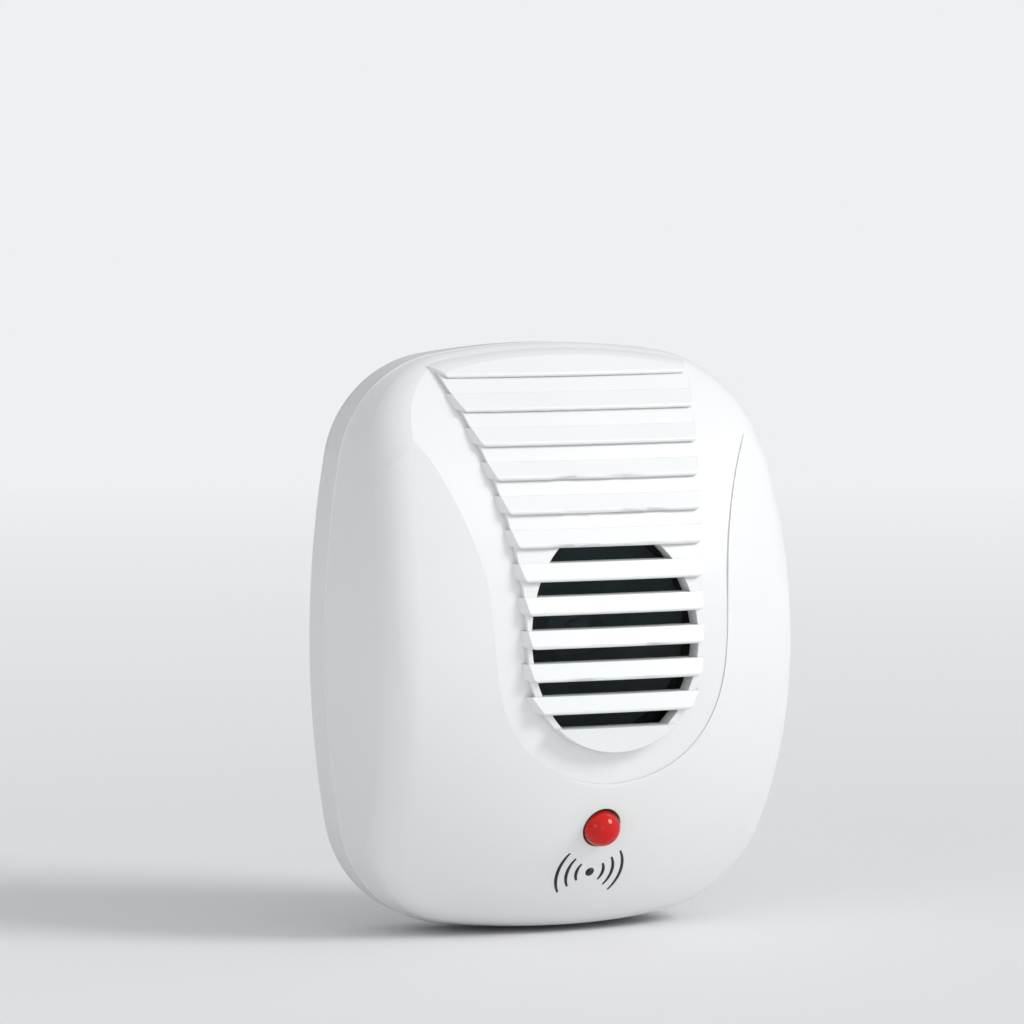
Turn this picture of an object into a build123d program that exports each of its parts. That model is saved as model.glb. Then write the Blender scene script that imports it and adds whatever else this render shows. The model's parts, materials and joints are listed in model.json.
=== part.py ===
from build123d import *
import math
import os

# Ultrasonic pest repeller: a plug-in white case with a louvred front, an indicator lamp,
# a piezo tweeter and its drive electronics.
# Millimetres. X to the right seen from the front, +Y into the wall, +Z up.
# Origin: midway between the two plug blades, on the flat rear face that meets the wall plate.

# ---- case ----
HALF_W = 33.2
HALF_H = 41.0
SIDE_R = 150.0
TOP_R = 110.0
CORNER_R = 17.0
CASE_DROP = 28.0
REAR_DEPTH = 11.0
FORM_DEPTH = 30.0
WALL = 2.0
FRONT_DRAFT = 8.6
REAR_DRAFT = 2.0
DOME_TOP = 25.0
DOME_CROSS_R = 66.0
DOME_UPPER_R = 65.0
DOME_LOWER_R = 52.0
DOME_MID = -1.2
RAMP_TOP = 23.52
RAMP_CROSS_R = 216.0
RAMP_UPPER_R = 53.0
RAMP_LOWER_R = 90.0
RAMP_MID = -1.6
DOME_ROUND = 7.0
RAMP_ROUND = 8.0
REAR_ROUND = 6.0
SEAM_BEVEL = 0.3
FORM_OFFSET = 0.015
STEP_DEPTH = 0.28
STEP_SLOPE = 40.0
STEP_POINTS = [(12.3, -13.9), (16.1, -7.6), (17.5, 1.0), (18.4, 12.0), (21.6, 22.7), (27.5, 31.5)]
STEP_LOW = -18.7

# ---- grille ----
TONGUE_RISE = 0.7
SLAT_RISE = 1.8
TONGUE_R = 13.0
TONGUE_MID = -1.1
TONGUE_TOP_W = 20.5
TONGUE_SIDE_R = 128.0
SLAT_COUNT = 11
SLAT_PITCH = 4.52
SLAT_FIRST = 36.6
SLAT_H = 2.5
SLAT_TOP_LIFT = 0.3
SLAT_NOSE_R = 0.35
SLAT_OVERHANG = 0.5
SLAT_LOW_OVERHANG = 1.0
SLAT_END_SLOPE = 22.0
SLAT_CORNER_R = 0.8
SLOT_COUNT = 6
SLOT_W = 12.5
SLOT_H = 15.6
SLOT_MID = 1.5

# ---- plug ----
BLADE_PITCH = 12.7
BLADE_H = 6.35
BLADE_T = 1.5
BLADE_LENGTH = 16.5
BLADE_HOLE_R = 1.6
BLADE_HOLE_AT = 11.7

# ---- inside ----
SCREW_X = 21.0
SCREW_Z = 29.0
BOARD_FRONT = -9.0
BOARD_T = 1.6
LEAD_END = -6.5
LEAD_R = 0.3
TWEETER_Z = SLOT_MID - CASE_DROP
LED_Z = -25.0 - CASE_DROP
LED_R = 2.6

FRONT_PLANE = Plane(origin=(0, -REAR_DEPTH, -CASE_DROP), x_dir=(1, 0, 0), z_dir=(0, -1, 0))
REAR_PLANE = Plane(origin=(0, -REAR_DEPTH, -CASE_DROP), x_dir=(-1, 0, 0), z_dir=(0, 1, 0))
LOW = (Align.CENTER, Align.CENTER, Align.MIN)


# ---------------------------------------------------------------- case outline and form
def oval(inset):
    """Case outline: eight tangent arcs, moved inwards by inset."""
    w = HALF_W - inset
    h = HALF_H - inset
    side = SIDE_R - inset
    top = TOP_R - inset
    corner = CORNER_R - inset
    sx = w - side
    ty = h - top
    a = side - corner
    b = top - corner
    d = math.hypot(sx, ty)
    t = (a * a - b * b + d * d) / (2 * d)
    k = math.sqrt(a * a - t * t)
    ux = -sx / d
    uy = ty / d
    cx = sx + ux * t + uy * k
    cy = uy * t - ux * k
    if cx < 0 or cy < 0:
        cx = sx + ux * t - uy * k
        cy = uy * t + ux * k
    a1 = math.atan2(cy, cx - sx)
    a2 = math.atan2(cy - ty, cx)
    am = (a1 + a2) / 2
    p = (sx + side * math.cos(a1), side * math.sin(a1))
    q = (top * math.cos(a2), ty + top * math.sin(a2))
    m = (cx + corner * math.cos(am), cy + corner * math.sin(am))
    arcs = [
        ThreePointArc((p[0], -p[1]), (w, 0), p),
        ThreePointArc(p, m, q),
        ThreePointArc(q, (0, h), (-q[0], q[1])),
        ThreePointArc((-q[0], q[1]), (-m[0], m[1]), (-p[0], p[1])),
        ThreePointArc((-p[0], p[1]), (-w, 0), (-p[0], -p[1])),
        ThreePointArc((-p[0], -p[1]), (-m[0], -m[1]), (-q[0], -q[1])),
        ThreePointArc((-q[0], -q[1]), (0, -h), (q[0], -q[1])),
        ThreePointArc((q[0], -q[1]), (m[0], -m[1]), (p[0], -p[1])),
    ]
    return make_face(Curve() + arcs)


def barrel(top, cross_r, long_r, mid, keep):
    """Half of a barrel: a cross arc swept about a horizontal axis behind the case front."""
    half = 40.0
    drop = cross_r - math.sqrt(cross_r * cross_r - half * half)
    axis_depth = top - long_r
    arc = ThreePointArc((-half, long_r - drop), (0, long_r), (half, long_r - drop))
    section = make_face(Curve() + [
        arc,
        Line((half, long_r - drop), (half, 0)),
        Line((half, 0), (-half, 0)),
        Line((-half, 0), (-half, long_r - drop)),
    ])
    origin = (0, -REAR_DEPTH - axis_depth, mid - CASE_DROP)
    plane = Plane(origin=origin, x_dir=(1, 0, 0), z_dir=(0, 0, -1))
    whole = revolve(plane * section, Axis(origin, (1, 0, 0)))
    return split(whole, Plane(origin=origin, x_dir=(1, 0, 0), z_dir=(0, 0, 1)), keep=keep)


def dome(inset):
    upper = barrel(DOME_TOP - inset, DOME_CROSS_R, DOME_UPPER_R, DOME_MID, Keep.TOP)
    lower = barrel(DOME_TOP - inset, DOME_CROSS_R, DOME_LOWER_R, DOME_MID, Keep.BOTTOM)
    return upper + lower


def ramp(inset):
    upper = barrel(RAMP_TOP - inset, RAMP_CROSS_R, RAMP_UPPER_R, RAMP_MID, Keep.TOP)
    lower = barrel(RAMP_TOP - inset, RAMP_CROSS_R, RAMP_LOWER_R, RAMP_MID, Keep.BOTTOM)
    return upper + lower


def front_edges(form):
    """Edges where the side wall turns into the front surface."""
    found = []
    walls = [f for f in form.faces() if f.bounding_box().max.Y > -REAR_DEPTH - 0.01]
    fronts = [f for f in form.faces() if f.bounding_box().max.Y <= -REAR_DEPTH - 0.01]
    wall_edges = [e for f in walls for e in f.edges()]
    for face in fronts:
        for edge in face.edges():
            if any(edge.is_same(other) for other in wall_edges):
                found.append(edge)
    return found


def rounded_front(inset, surface, radius):
    block = extrude(FRONT_PLANE * oval(inset), FORM_DEPTH, taper=FRONT_DRAFT)
    form = block & surface
    return fillet(front_edges(form), radius)


def case_form(inset):
    """Front half of the case as a solid: the dome, cut by the grille ramp."""
    domed = rounded_front(inset, dome(inset), DOME_ROUND - inset)
    ramped = rounded_front(inset - FORM_OFFSET, ramp(inset), RAMP_ROUND - inset)
    return domed & ramped


def ramp_step():
    """Material removed inside the crease line, so that a small bevelled step borders the ramp."""
    right = [(0, STEP_LOW)] + STEP_POINTS
    left = [(-x, z) for x, z in reversed(STEP_POINTS)]
    line = Spline(*(left + right))
    top = HALF_H + 6.0
    end_x, end_z = STEP_POINTS[-1]
    outline = make_face(Curve() + [
        line,
        Line((end_x, end_z), (end_x, top)),
        Line((end_x, top), (-end_x, top)),
        Line((-end_x, top), (-end_x, end_z)),
    ])
    return extrude(FRONT_PLANE * outline, FORM_DEPTH) - ramp(STEP_DEPTH)


def ramp_depth(x, z, rise):
    """Forward distance of the ramp from the seam plane, z from the case centre."""
    r = RAMP_UPPER_R if z > RAMP_MID else RAMP_LOWER_R
    d = z - RAMP_MID
    across = RAMP_CROSS_R - math.sqrt(RAMP_CROSS_R ** 2 - x * x)
    return RAMP_TOP + rise - r + math.sqrt((r - across) ** 2 - d * d)


# ---------------------------------------------------------------- grille
def tongue_side(z):
    """Half width of the raised grille panel at height z from the case centre."""
    if z < TONGUE_MID:
        d = TONGUE_MID - z
        return math.sqrt(max(TONGUE_R ** 2 - d * d, 0.0))
    d = z - TONGUE_MID
    return TONGUE_R + TONGUE_SIDE_R - math.sqrt(TONGUE_SIDE_R ** 2 - d * d)


def tongue_outline():
    top_z = HALF_H + 2.0
    mid_z = (top_z + TONGUE_MID) / 2
    top_w = tongue_side(top_z)
    mid_w = tongue_side(mid_z)
    return make_face(Curve() + [
        ThreePointArc((-TONGUE_R, TONGUE_MID), (0, TONGUE_MID - TONGUE_R), (TONGUE_R, TONGUE_MID)),
        ThreePointArc((TONGUE_R, TONGUE_MID), (mid_w, mid_z), (top_w, top_z)),
        Line((top_w, top_z), (-top_w, top_z)),
        ThreePointArc((-top_w, top_z), (-mid_w, mid_z), (-TONGUE_R, TONGUE_MID)),
    ])


def slat_ends(low, high, low_half, high_half):
    """Block that ends a louvre bar: sloped, slightly leaning ends with rounded corners."""
    slope = math.tan(math.radians(SLAT_END_SLOPE))
    sections = []
    for z, half in ((low, low_half), (high, high_half)):
        skin = ramp_depth(half, min(z, HALF_H - 2.0), 0.0)
        back = -REAR_DEPTH - skin + 3.0
        front = -REAR_DEPTH - skin - 6.0
        face = make_face(Polyline(
            (-half - 3.0 * slope, back), (half + 3.0 * slope, back),
            (half - 6.0 * slope, front), (-half + 6.0 * slope, front), close=True,
        ))
        sections.append(Location((0, 0, z - CASE_DROP)) * face)
    block = loft(sections, ruled=True)
    low_edges = [e for e in block.edges() if e.bounding_box().max.Z < low - CASE_DROP + 0.01]
    ends = [e for e in low_edges if abs(e.tangent_at(0.5).Y) > 0.8]
    return fillet(ends, SLAT_CORNER_R)


def slat(row):
    """One louvre bar: its front leans out from the panel at the top to a rounded nose at the bottom."""
    low = SLAT_FIRST - SLAT_PITCH * row
    high = low + SLAT_H
    low_nose = ramp_depth(0, low, SLAT_RISE)
    high_nose = ramp_depth(0, high, TONGUE_RISE + SLAT_TOP_LIFT)
    if row == 0:
        high = HALF_H + 1.0
        high_nose = ramp_depth(0, SLAT_FIRST + SLAT_H, TONGUE_RISE) - 3.0
    if row == SLAT_COUNT:
        low = TONGUE_MID - TONGUE_R - 1.0
        high = SLAT_FIRST - SLAT_PITCH * (row - 1) - (SLAT_PITCH - SLAT_H)
        low_nose = ramp_depth(0, low, SLAT_RISE)
        high_nose = ramp_depth(0, high, SLAT_RISE)
    back = min(low_nose, high_nose) - 4.0
    section = make_face(Polyline(
        (back, low - CASE_DROP), (low_nose, low - CASE_DROP),
        (high_nose, high - CASE_DROP), (back, high - CASE_DROP), close=True,
    ))
    corner = [v for v in section.vertices() if v.X > low_nose - 0.01 and v.Y < low - CASE_DROP + 0.01]
    section = fillet(corner, SLAT_NOSE_R)
    tilt = ((low + high) / 2 - RAMP_MID) / RAMP_UPPER_R
    crown = RAMP_CROSS_R * math.sqrt(1 - min(tilt, 0.8) ** 2) if tilt > 0 else RAMP_CROSS_R
    axis_y = -REAR_DEPTH - low_nose + crown
    plane = Plane(origin=(0, -REAR_DEPTH, 0), x_dir=(0, -1, 0), z_dir=(-1, 0, 0))
    axis = Axis((0, axis_y, 0), (0, 0, 1))
    half_turn = 9.0
    start = plane * section
    turn = Location((0, axis_y, 0)) * Rotation(0, 0, -half_turn) * Location((0, -axis_y, 0))
    bar = revolve(turn * start, axis, 2 * half_turn)
    if row == SLAT_COUNT:
        return bar & extrude(FRONT_PLANE * tongue_outline(), FORM_DEPTH)
    overhang = SLAT_LOW_OVERHANG if row == SLAT_COUNT - 1 else SLAT_OVERHANG
    if row == 0:
        return bar & slat_ends(low, high, tongue_side(low) - 0.2, tongue_side(high))
    return bar & slat_ends(low, high, tongue_side(low) + overhang, tongue_side(high) + overhang)


def grille():
    """Raised panel and louvre bars."""
    panel_form = rounded_front(0.35, ramp(-TONGUE_RISE), RAMP_ROUND)
    panel = panel_form & extrude(FRONT_PLANE * tongue_outline(), FORM_DEPTH)
    bar_form = rounded_front(0.3, ramp(-SLAT_RISE), RAMP_ROUND + 1.0)
    bars = [slat(row) & bar_form for row in range(SLAT_COUNT + 1)]
    return panel, bars


def slots():
    """Open gaps between the louvre bars in front of the tweeter, clipped to an upright ellipse."""
    window = extrude(FRONT_PLANE * (Pos(0, SLOT_MID) * Ellipse(SLOT_W, SLOT_H)), FORM_DEPTH)
    cuts = []
    for k in range(SLOT_COUNT):
        row = SLAT_COUNT - SLOT_COUNT + k
        top = SLAT_FIRST - SLAT_PITCH * row
        low = top - (SLAT_PITCH - SLAT_H)
        gap = Box(2 * SLOT_W + 2, 20, top - low, align=(Align.CENTER, Align.MAX, Align.MIN))
        gap = Location((0, -REAR_DEPTH - 14.0, low - CASE_DROP)) * gap
        cuts.append(gap & window)
    return cuts


# ---------------------------------------------------------------- helpers
def rod(x, z, y_front, y_back, radius):
    """Cylinder along Y between two depths."""
    plane = Plane(origin=(x, y_back, z), x_dir=(1, 0, 0), z_dir=(0, -1, 0))
    return plane * Cylinder(radius, y_back - y_front, align=LOW)


def turned(points, x, z):
    """Solid of revolution about a Y-parallel axis from (radius, y) points."""
    face = Location((x, 0, z)) * make_face(Polyline(*points, close=True))
    return revolve(face, Axis((x, 0, z), (0, 1, 0)))


def slab(x0, x1, y0, y1, z0, z1):
    box = Box(x1 - x0, y1 - y0, z1 - z0)
    return Location(((x0 + x1) / 2, (y0 + y1) / 2, (z0 + z1) / 2)) * box


def wire(points, radius, bend):
    """Round wire along straight runs joined by bends."""
    path = FilletPolyline(*points, radius=bend)
    start = Plane(origin=path @ 0, z_dir=path % 0)
    return sweep(start * Circle(radius), path)


def corners(xs, zs):
    return [(x, z) for x in xs for z in zs]


SCREW_SPOTS = corners((-SCREW_X, SCREW_X), (SCREW_Z - CASE_DROP, -SCREW_Z - CASE_DROP))
BOARD_SPOTS = [(-20.5, -21.0), (20.5, -21.0), (-9.0, -55.5), (9.0, -55.5)]
CARRIER_SPOTS = [(-13.0, 0.0), (13.0, 0.0)]
TWEETER_SPOTS = [(-21.6, TWEETER_Z), (21.6, TWEETER_Z)]


# ---------------------------------------------------------------- case parts
def front_cover():
    outer = case_form(0.0)
    hollow = case_form(WALL)
    for x, z in SCREW_SPOTS:
        hollow -= rod(x, z, -REAR_DEPTH - 20, -REAR_DEPTH, 3.2)
    hollow -= tweeter_collar()
    hollow -= rod(0, LED_Z, -REAR_DEPTH - 25, -26.2, LED_R + 1.6)
    panel, bars = grille()
    shell = outer - ramp_step() + panel
    for bar in bars:
        shell += bar
    shell -= hollow
    for cut in slots():
        shell -= cut
    shell -= rod(0, LED_Z, -REAR_DEPTH - 25, -REAR_DEPTH, LED_R + 0.15)
    for x, z in SCREW_SPOTS:
        shell -= rod(x, z, -REAR_DEPTH - 9.0, -REAR_DEPTH, 1.3)
    for x, z in TWEETER_SPOTS:
        shell -= rod(x, z, -31.0, -26.4, 0.85)
    rim = [e for e in shell.edges() if abs(e.center().Y + REAR_DEPTH) < 0.01 and e.length > 20]
    outer_rim = [e for e in rim if on_outline(e)]
    return chamfer(outer_rim, SEAM_BEVEL)


def on_outline(edge):
    """True for an edge of the seam's outer outline."""
    p = edge.position_at(0.5)
    grow = (abs(p.X) / HALF_W) ** 3.4 + (abs(p.Z + CASE_DROP) / HALF_H) ** 3.4
    return grow > 0.93


def tweeter_collar():
    """Round wall behind the grille that the tweeter's gasket sits on, with two screw bosses."""
    wall = rod(0, TWEETER_Z, -40, -27.3, 19.2) - rod(0, TWEETER_Z, -41, -27, 17.4)
    for x, z in TWEETER_SPOTS:
        wall += rod(x, z, -40, -26.5, 2.3)
    return wall


def rear_cover():
    block = extrude(REAR_PLANE * oval(0.0), REAR_DEPTH, taper=REAR_DRAFT)
    back = [e for e in block.edges() if abs(e.center().Y) < 0.01 and e.length > 5]
    block = fillet(back, REAR_ROUND)
    hollow = extrude(REAR_PLANE * oval(WALL), REAR_DEPTH - WALL, taper=REAR_DRAFT)
    floor_edges = [e for e in hollow.edges() if abs(e.center().Y + WALL) < 0.01 and e.length > 5]
    hollow = fillet(floor_edges, REAR_ROUND - WALL)
    for x, z in SCREW_SPOTS:
        hollow -= rod(x, z, -REAR_DEPTH, 0, 4.5)
    for x, z in BOARD_SPOTS:
        hollow -= rod(x, z, BOARD_FRONT + BOARD_T, 0, 2.4)
    for x, z in CARRIER_SPOTS:
        hollow -= rod(x, z, -5.0, 0, 2.8)
    shell = block - hollow
    lip = extrude(FRONT_PLANE * oval(WALL + 0.35), 1.5)
    lip -= extrude(FRONT_PLANE * oval(WALL + 1.4), 1.5)
    root = extrude(REAR_PLANE * oval(WALL - 0.2), 1.2)
    root -= extrude(REAR_PLANE * oval(WALL + 1.4), 1.2)
    shell += lip + root
    for x, z in SCREW_SPOTS:
        shell -= rod(x, z, -8.0, 1, 3.1)
        shell -= rod(x, z, -REAR_DEPTH - 1, 0, 1.6)
    for x, z in BOARD_SPOTS:
        shell -= rod(x, z, -8, -2.5, 1.05)
    for x, z in CARRIER_SPOTS:
        shell -= rod(x, z, -6, -1.0, 1.05)
    for side in (-1, 1):
        shell -= blade_slot(side)
    shell -= label_recess(0.0)
    rim = [e for e in shell.edges() if abs(e.center().Y + REAR_DEPTH) < 0.01 and e.length > 20]
    outer_rim = [e for e in rim if on_outline(e)]
    return chamfer(outer_rim, SEAM_BEVEL)


def blade_slot(side):
    x = side * BLADE_PITCH / 2
    w = BLADE_T / 2 + 0.1
    h = BLADE_H / 2 + 0.1
    return slab(x - w, x + w, -3, 1, -h, h)


def label_recess(gap):
    """Shallow round-cornered pocket for the rating label on the rear face."""
    plane = Plane(origin=(0, 0, -38), x_dir=(-1, 0, 0), z_dir=(0, 1, 0))
    outline = RectangleRounded(36 - 2 * gap, 22 - 2 * gap, 2)
    return extrude(plane * outline, -0.3)


def rear_label():
    plane = Plane(origin=(0, -0.3, -38), x_dir=(-1, 0, 0), z_dir=(0, 1, 0))
    return extrude(plane * RectangleRounded(35.4, 21.4, 1.8), 0.15)


def pan_screw(x, z, y_seat, length, shank_r, head_r, head_h):
    """Self-tapping screw driven forwards from the rear; its head sits behind y_seat."""
    shank = rod(x, z, y_seat - length + 1.0, y_seat, shank_r)
    tip = turned([(0, y_seat - length + 1.0), (shank_r, y_seat - length + 1.0), (0, y_seat - length)], x, z)
    head = turned([
        (0, y_seat), (head_r, y_seat), (head_r, y_seat + 0.4 * head_h),
        (0.7 * head_r, y_seat + 0.85 * head_h), (0.35 * head_r, y_seat + head_h), (0, y_seat + head_h),
    ], x, z)
    screw = shank + tip + head
    arm = 0.62 * head_r
    top = y_seat + head_h
    screw -= slab(x - arm, x + arm, top - 0.5 * head_h, top + 1, z - 0.3, z + 0.3)
    screw -= slab(x - 0.3, x + 0.3, top - 0.5 * head_h, top + 1, z - arm, z + arm)
    return screw


def front_screw(x, z, y_seat, length, shank_r, head_r, head_h):
    """The same screw driven rearwards, its head in front of y_seat."""
    turned_over = pan_screw(0, 0, 0, length, shank_r, head_r, head_h)
    return Location((x, y_seat, z)) * (Rotation(0, 0, 180) * turned_over)


def cover_screws():
    return Compound(children=[pan_screw(x, z, -8.0, 11.0, 1.28, 2.8, 1.9) for x, z in SCREW_SPOTS])


def board_screws():
    return Compound(children=[front_screw(x, z, BOARD_FRONT, 5.5, 1.0, 2.0, 1.4) for x, z in BOARD_SPOTS])


def carrier_screws():
    return Compound(children=[front_screw(x, z, -8.0, 6.0, 1.0, 2.0, 1.4) for x, z in CARRIER_SPOTS])


def tweeter_screws():
    return Compound(children=[pan_screw(x, z, -24.4, 5.6, 0.8, 1.9, 1.2) for x, z in TWEETER_SPOTS])


# ---------------------------------------------------------------- plug
def blade(side):
    """Flat plug blade with a rounded nose, a cross hole, trapped shoulders and a wiring tail."""
    h = BLADE_H / 2
    face = make_face(Polyline(
        (BLADE_LENGTH - 1.6, -h), (BLADE_LENGTH, -h + 1.6),
        (BLADE_LENGTH, h - 1.6), (BLADE_LENGTH - 1.6, h),
        (-2.1, h), (-2.1, 4.9), (-4.4, 4.9), (-4.4, 2.0),
        (-14.0, 2.0), (-14.0, -2.0), (-4.4, -2.0), (-4.4, -4.9), (-2.1, -4.9), (-2.1, -h),
        close=True,
    ))
    plane = Plane(origin=(side * BLADE_PITCH / 2, 0, 0), x_dir=(0, 1, 0), z_dir=(1, 0, 0))
    plate = extrude(plane * face, BLADE_T / 2, both=True)
    nose = [e for e in plate.edges() if e.center().Y > BLADE_LENGTH - 0.9]
    plate = chamfer([e for e in nose if e.length > 1.9], 0.4)
    hole = Location((side * BLADE_PITCH / 2, BLADE_HOLE_AT, 0), (0, 90, 0))
    return plate - hole * Cylinder(BLADE_HOLE_R, 4)


def blade_carrier():
    """Insulating block that traps both blades against the rear cover."""
    plane = Plane(origin=(0, -2.05, 0), x_dir=(1, 0, 0), z_dir=(0, -1, 0))
    block = extrude(plane * RectangleRounded(19.5, 12.6, 2), 6.95)
    for x, z in CARRIER_SPOTS:
        ear = rod(x, z, -8.0, -5.05, 2.9) + slab(min(x, 0), max(x, 0), -8.0, -5.05, -2.9, 2.9)
        block += ear
    for side in (-1, 1):
        x = side * BLADE_PITCH / 2
        w = BLADE_T / 2 + 0.06
        block -= slab(x - w, x + w, -4.46, -1, -4.97, 4.97)
        block -= slab(x - w, x + w, -12, -1, -2.06, 2.06)
    for x, z in CARRIER_SPOTS:
        block -= rod(x, z, -9, -4, 1.15)
    return block


def sleeves():
    """Shrink tubing over the two blade tails."""
    tubes = []
    for side in (-1, 1):
        x = side * BLADE_PITCH / 2
        tubes.append(rod(x, 0, -17.5, -9.2, 2.75) - rod(x, 0, -18, -9, 2.3))
    return Compound(children=tubes)


def mains_wire(side):
    """Wire from a blade's tail, forwards out of its sleeve and down to the board."""
    x = side * BLADE_PITCH / 2
    pad_x = side * 15.0
    pad_z = -17.2
    return wire([(x, -14.02, 0), (x, -18.6, 0), (x + side * 4.5, -18.6, -8.5),
                 (pad_x, -15.0, pad_z), (pad_x, BOARD_FRONT - 0.02, pad_z)], 0.75, 2.0)


# ---------------------------------------------------------------- circuit board
RESISTOR_SPOTS = [(-19.0, -35.2, 90), (-19.0, -46.2, 90), (-3.0, -46.6, 0), (-3.0, -43.3, 0),
                  (11.0, -24.0, 90), (14.4, -24.0, 90)]
DIODE_SPOTS = [(-15.0, -27.0), (-11.4, -27.0), (-7.8, -27.0), (-4.2, -27.0)]
CERAMIC_SPOTS = [(7.0, -39.0), (3.0, -35.0), (-13.4, -40.0)]
CHIP_SPOT = (4.5, -27.0)
TRANSISTOR_SPOTS = [(13.5, -37.5), (20.0, -37.5)]
COIL_SPOT = (19.5, -30.2)
FILM_CAP_SPOT = (-11.0, -50.7)
CAN_SPOT = (16.5, -47.5)
BLEED_SPOT = (-22.6, -40.0, 90)
FUSE_SPOT = (-21.2, -27.0)
ZENER_SPOT = (-9.5, -38.0, 90)


def lead_spots(x, z, angle, span):
    dx = span / 2 * math.cos(math.radians(angle))
    dz = span / 2 * math.sin(math.radians(angle))
    return [(x - dx, z - dz), (x + dx, z + dz)]


def all_leads():
    """Every place where a component lead passes through the board."""
    spots = []
    for x, z, angle in RESISTOR_SPOTS + [BLEED_SPOT, ZENER_SPOT]:
        spots += lead_spots(x, z, angle, 9.0)
    for x, z in DIODE_SPOTS:
        spots += lead_spots(x, z, 90, 10.0)
    for x, z in CERAMIC_SPOTS:
        spots += lead_spots(x, z, 0, 2.54)
    for x, z in TRANSISTOR_SPOTS:
        spots += [(x - 1.27, z), (x, z), (x + 1.27, z)]
    x, z = CHIP_SPOT
    spots += corners((x - 3.81, x + 3.81), [z + 2.54 * (k - 1.5) for k in range(4)])
    x, z = COIL_SPOT
    spots += lead_spots(x, z, 90, 5.0)
    x, z = FILM_CAP_SPOT
    spots += lead_spots(x, z, 0, 10.0)
    x, z = CAN_SPOT
    spots += lead_spots(x, z, 0, 3.5)
    x, z = FUSE_SPOT
    spots += lead_spots(x, z, 90, 5.0)
    spots += lead_spots(0, LED_Z, 0, 2.54)
    return spots


def pin(x, z, top):
    """Straight lead from a height above the board, through it, to the solder side."""
    return rod(x, z, BOARD_FRONT - top, LEAD_END, LEAD_R)


def circuit_board():
    plane = Plane(origin=(0, BOARD_FRONT + BOARD_T, -37.0), x_dir=(1, 0, 0), z_dir=(0, -1, 0))
    board = extrude(plane * RectangleRounded(50, 46, 2), BOARD_T)
    for x, z in SCREW_SPOTS:
        board -= rod(x, z, -12, 0, 5.2)
    for x, z in BOARD_SPOTS:
        board -= rod(x, z, -12, 0, 1.15)
    for x, z in all_leads():
        board -= rod(x, z, -12, 0, LEAD_R + 0.12)
    return board


def solder_joints():
    """Cones of solder on the rear of the board, one round each lead."""
    back = BOARD_FRONT + BOARD_T
    joints = []
    for x, z in all_leads():
        cone = turned([(LEAD_R + 0.02, back + 0.01), (0.95, back + 0.01), (0.62, back + 0.35),
                       (LEAD_R + 0.1, back + 0.8), (LEAD_R + 0.02, back + 0.8)], x, z)
        joints.append(cone)
    return Compound(children=joints)


def axial(x, z, angle, span, body_l, body_r, lift, waist=0.0):
    """Resistor or diode lying on the board: a body with two bent leads."""
    plane = Plane(origin=(x, BOARD_FRONT - lift, z),
                  x_dir=(math.cos(math.radians(angle)), 0, math.sin(math.radians(angle))), z_dir=(0, -1, 0))
    half = body_l / 2
    if waist > 0:
        outline = Polyline((-half, 0), (-half, body_r - 0.2), (-half + 0.3, body_r), (-half + 1.3, body_r),
                           (-half + 1.7, body_r - waist), (half - 1.7, body_r - waist), (half - 1.3, body_r),
                           (half - 0.3, body_r), (half, body_r - 0.2), (half, 0), close=True)
    else:
        outline = Polyline((-half, 0), (-half, body_r - 0.15), (-half + 0.15, body_r),
                           (half - 0.15, body_r), (half, body_r - 0.15), (half, 0), close=True)
    body = revolve(plane * make_face(outline), Axis(plane.origin, plane.x_dir))
    bar = plane * (Rotation(0, 90, 0) * Cylinder(LEAD_R, span))
    piece = body + bar
    for px, pz in lead_spots(x, z, angle, span):
        piece += pin(px, pz, lift)
        piece += Location((px, BOARD_FRONT - lift, pz)) * Sphere(LEAD_R)
    return piece


def carbon_resistors():
    return Compound(children=[axial(x, z, a, 9.0, 6.0, 1.05, 1.25, 0.18) for x, z, a in RESISTOR_SPOTS])


def bleed_resistor():
    x, z, a = BLEED_SPOT
    return axial(x, z, a, 9.0, 6.6, 1.25, 1.45, 0.2)


def zener_diode():
    x, z, a = ZENER_SPOT
    return axial(x, z, a, 9.0, 4.0, 0.95, 1.15)


def rectifier_diodes():
    return Compound(children=[axial(x, z, 90, 10.0, 5.2, 1.35, 1.55) for x, z in DIODE_SPOTS])


def fusible_resistor():
    """Upright resistor: one lead comes back down beside the body."""
    x, z = FUSE_SPOT
    body = rod(x, z - 2.5, BOARD_FRONT - 7.0, BOARD_FRONT - 0.6, 1.5)
    body += pin(x, z - 2.5, 1.0)
    body += rod(x, z - 2.5, BOARD_FRONT - 8.2, BOARD_FRONT - 6.8, LEAD_R)
    body += slab(x - LEAD_R, x + LEAD_R, BOARD_FRONT - 8.5, BOARD_FRONT - 8.0, z - 2.8, z + 2.8)
    return body + pin(x, z + 2.5, 8.2)


def ceramic(x, z):
    disc = Location((x, BOARD_FRONT - 3.6, z), (0, 0, 0)) * Cylinder(2.4, 1.6)
    disc = fillet(disc.edges().filter_by(GeomType.CIRCLE), 0.6)
    for px, pz in lead_spots(x, z, 0, 2.54):
        disc += pin(px, pz, 3.2)
    return disc


def ceramic_capacitors():
    return Compound(children=[ceramic(x, z) for x, z in CERAMIC_SPOTS])


def transistor(x, z):
    """Small plastic transistor: a round body with a flat, on three leads."""
    plane = Plane(origin=(x, BOARD_FRONT - 2.5, z), x_dir=(1, 0, 0), z_dir=(0, -1, 0))
    body = plane * Cylinder(2.35, 4.6, align=LOW)
    body -= slab(x - 4, x + 4, -30, BOARD_FRONT, z + 1.3, z + 5)
    for k in (-1, 0, 1):
        body += pin(x + 1.27 * k, z, 3.0)
    return body


def driver_transistors():
    return Compound(children=[transistor(x, z) for x, z in TRANSISTOR_SPOTS])


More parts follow.
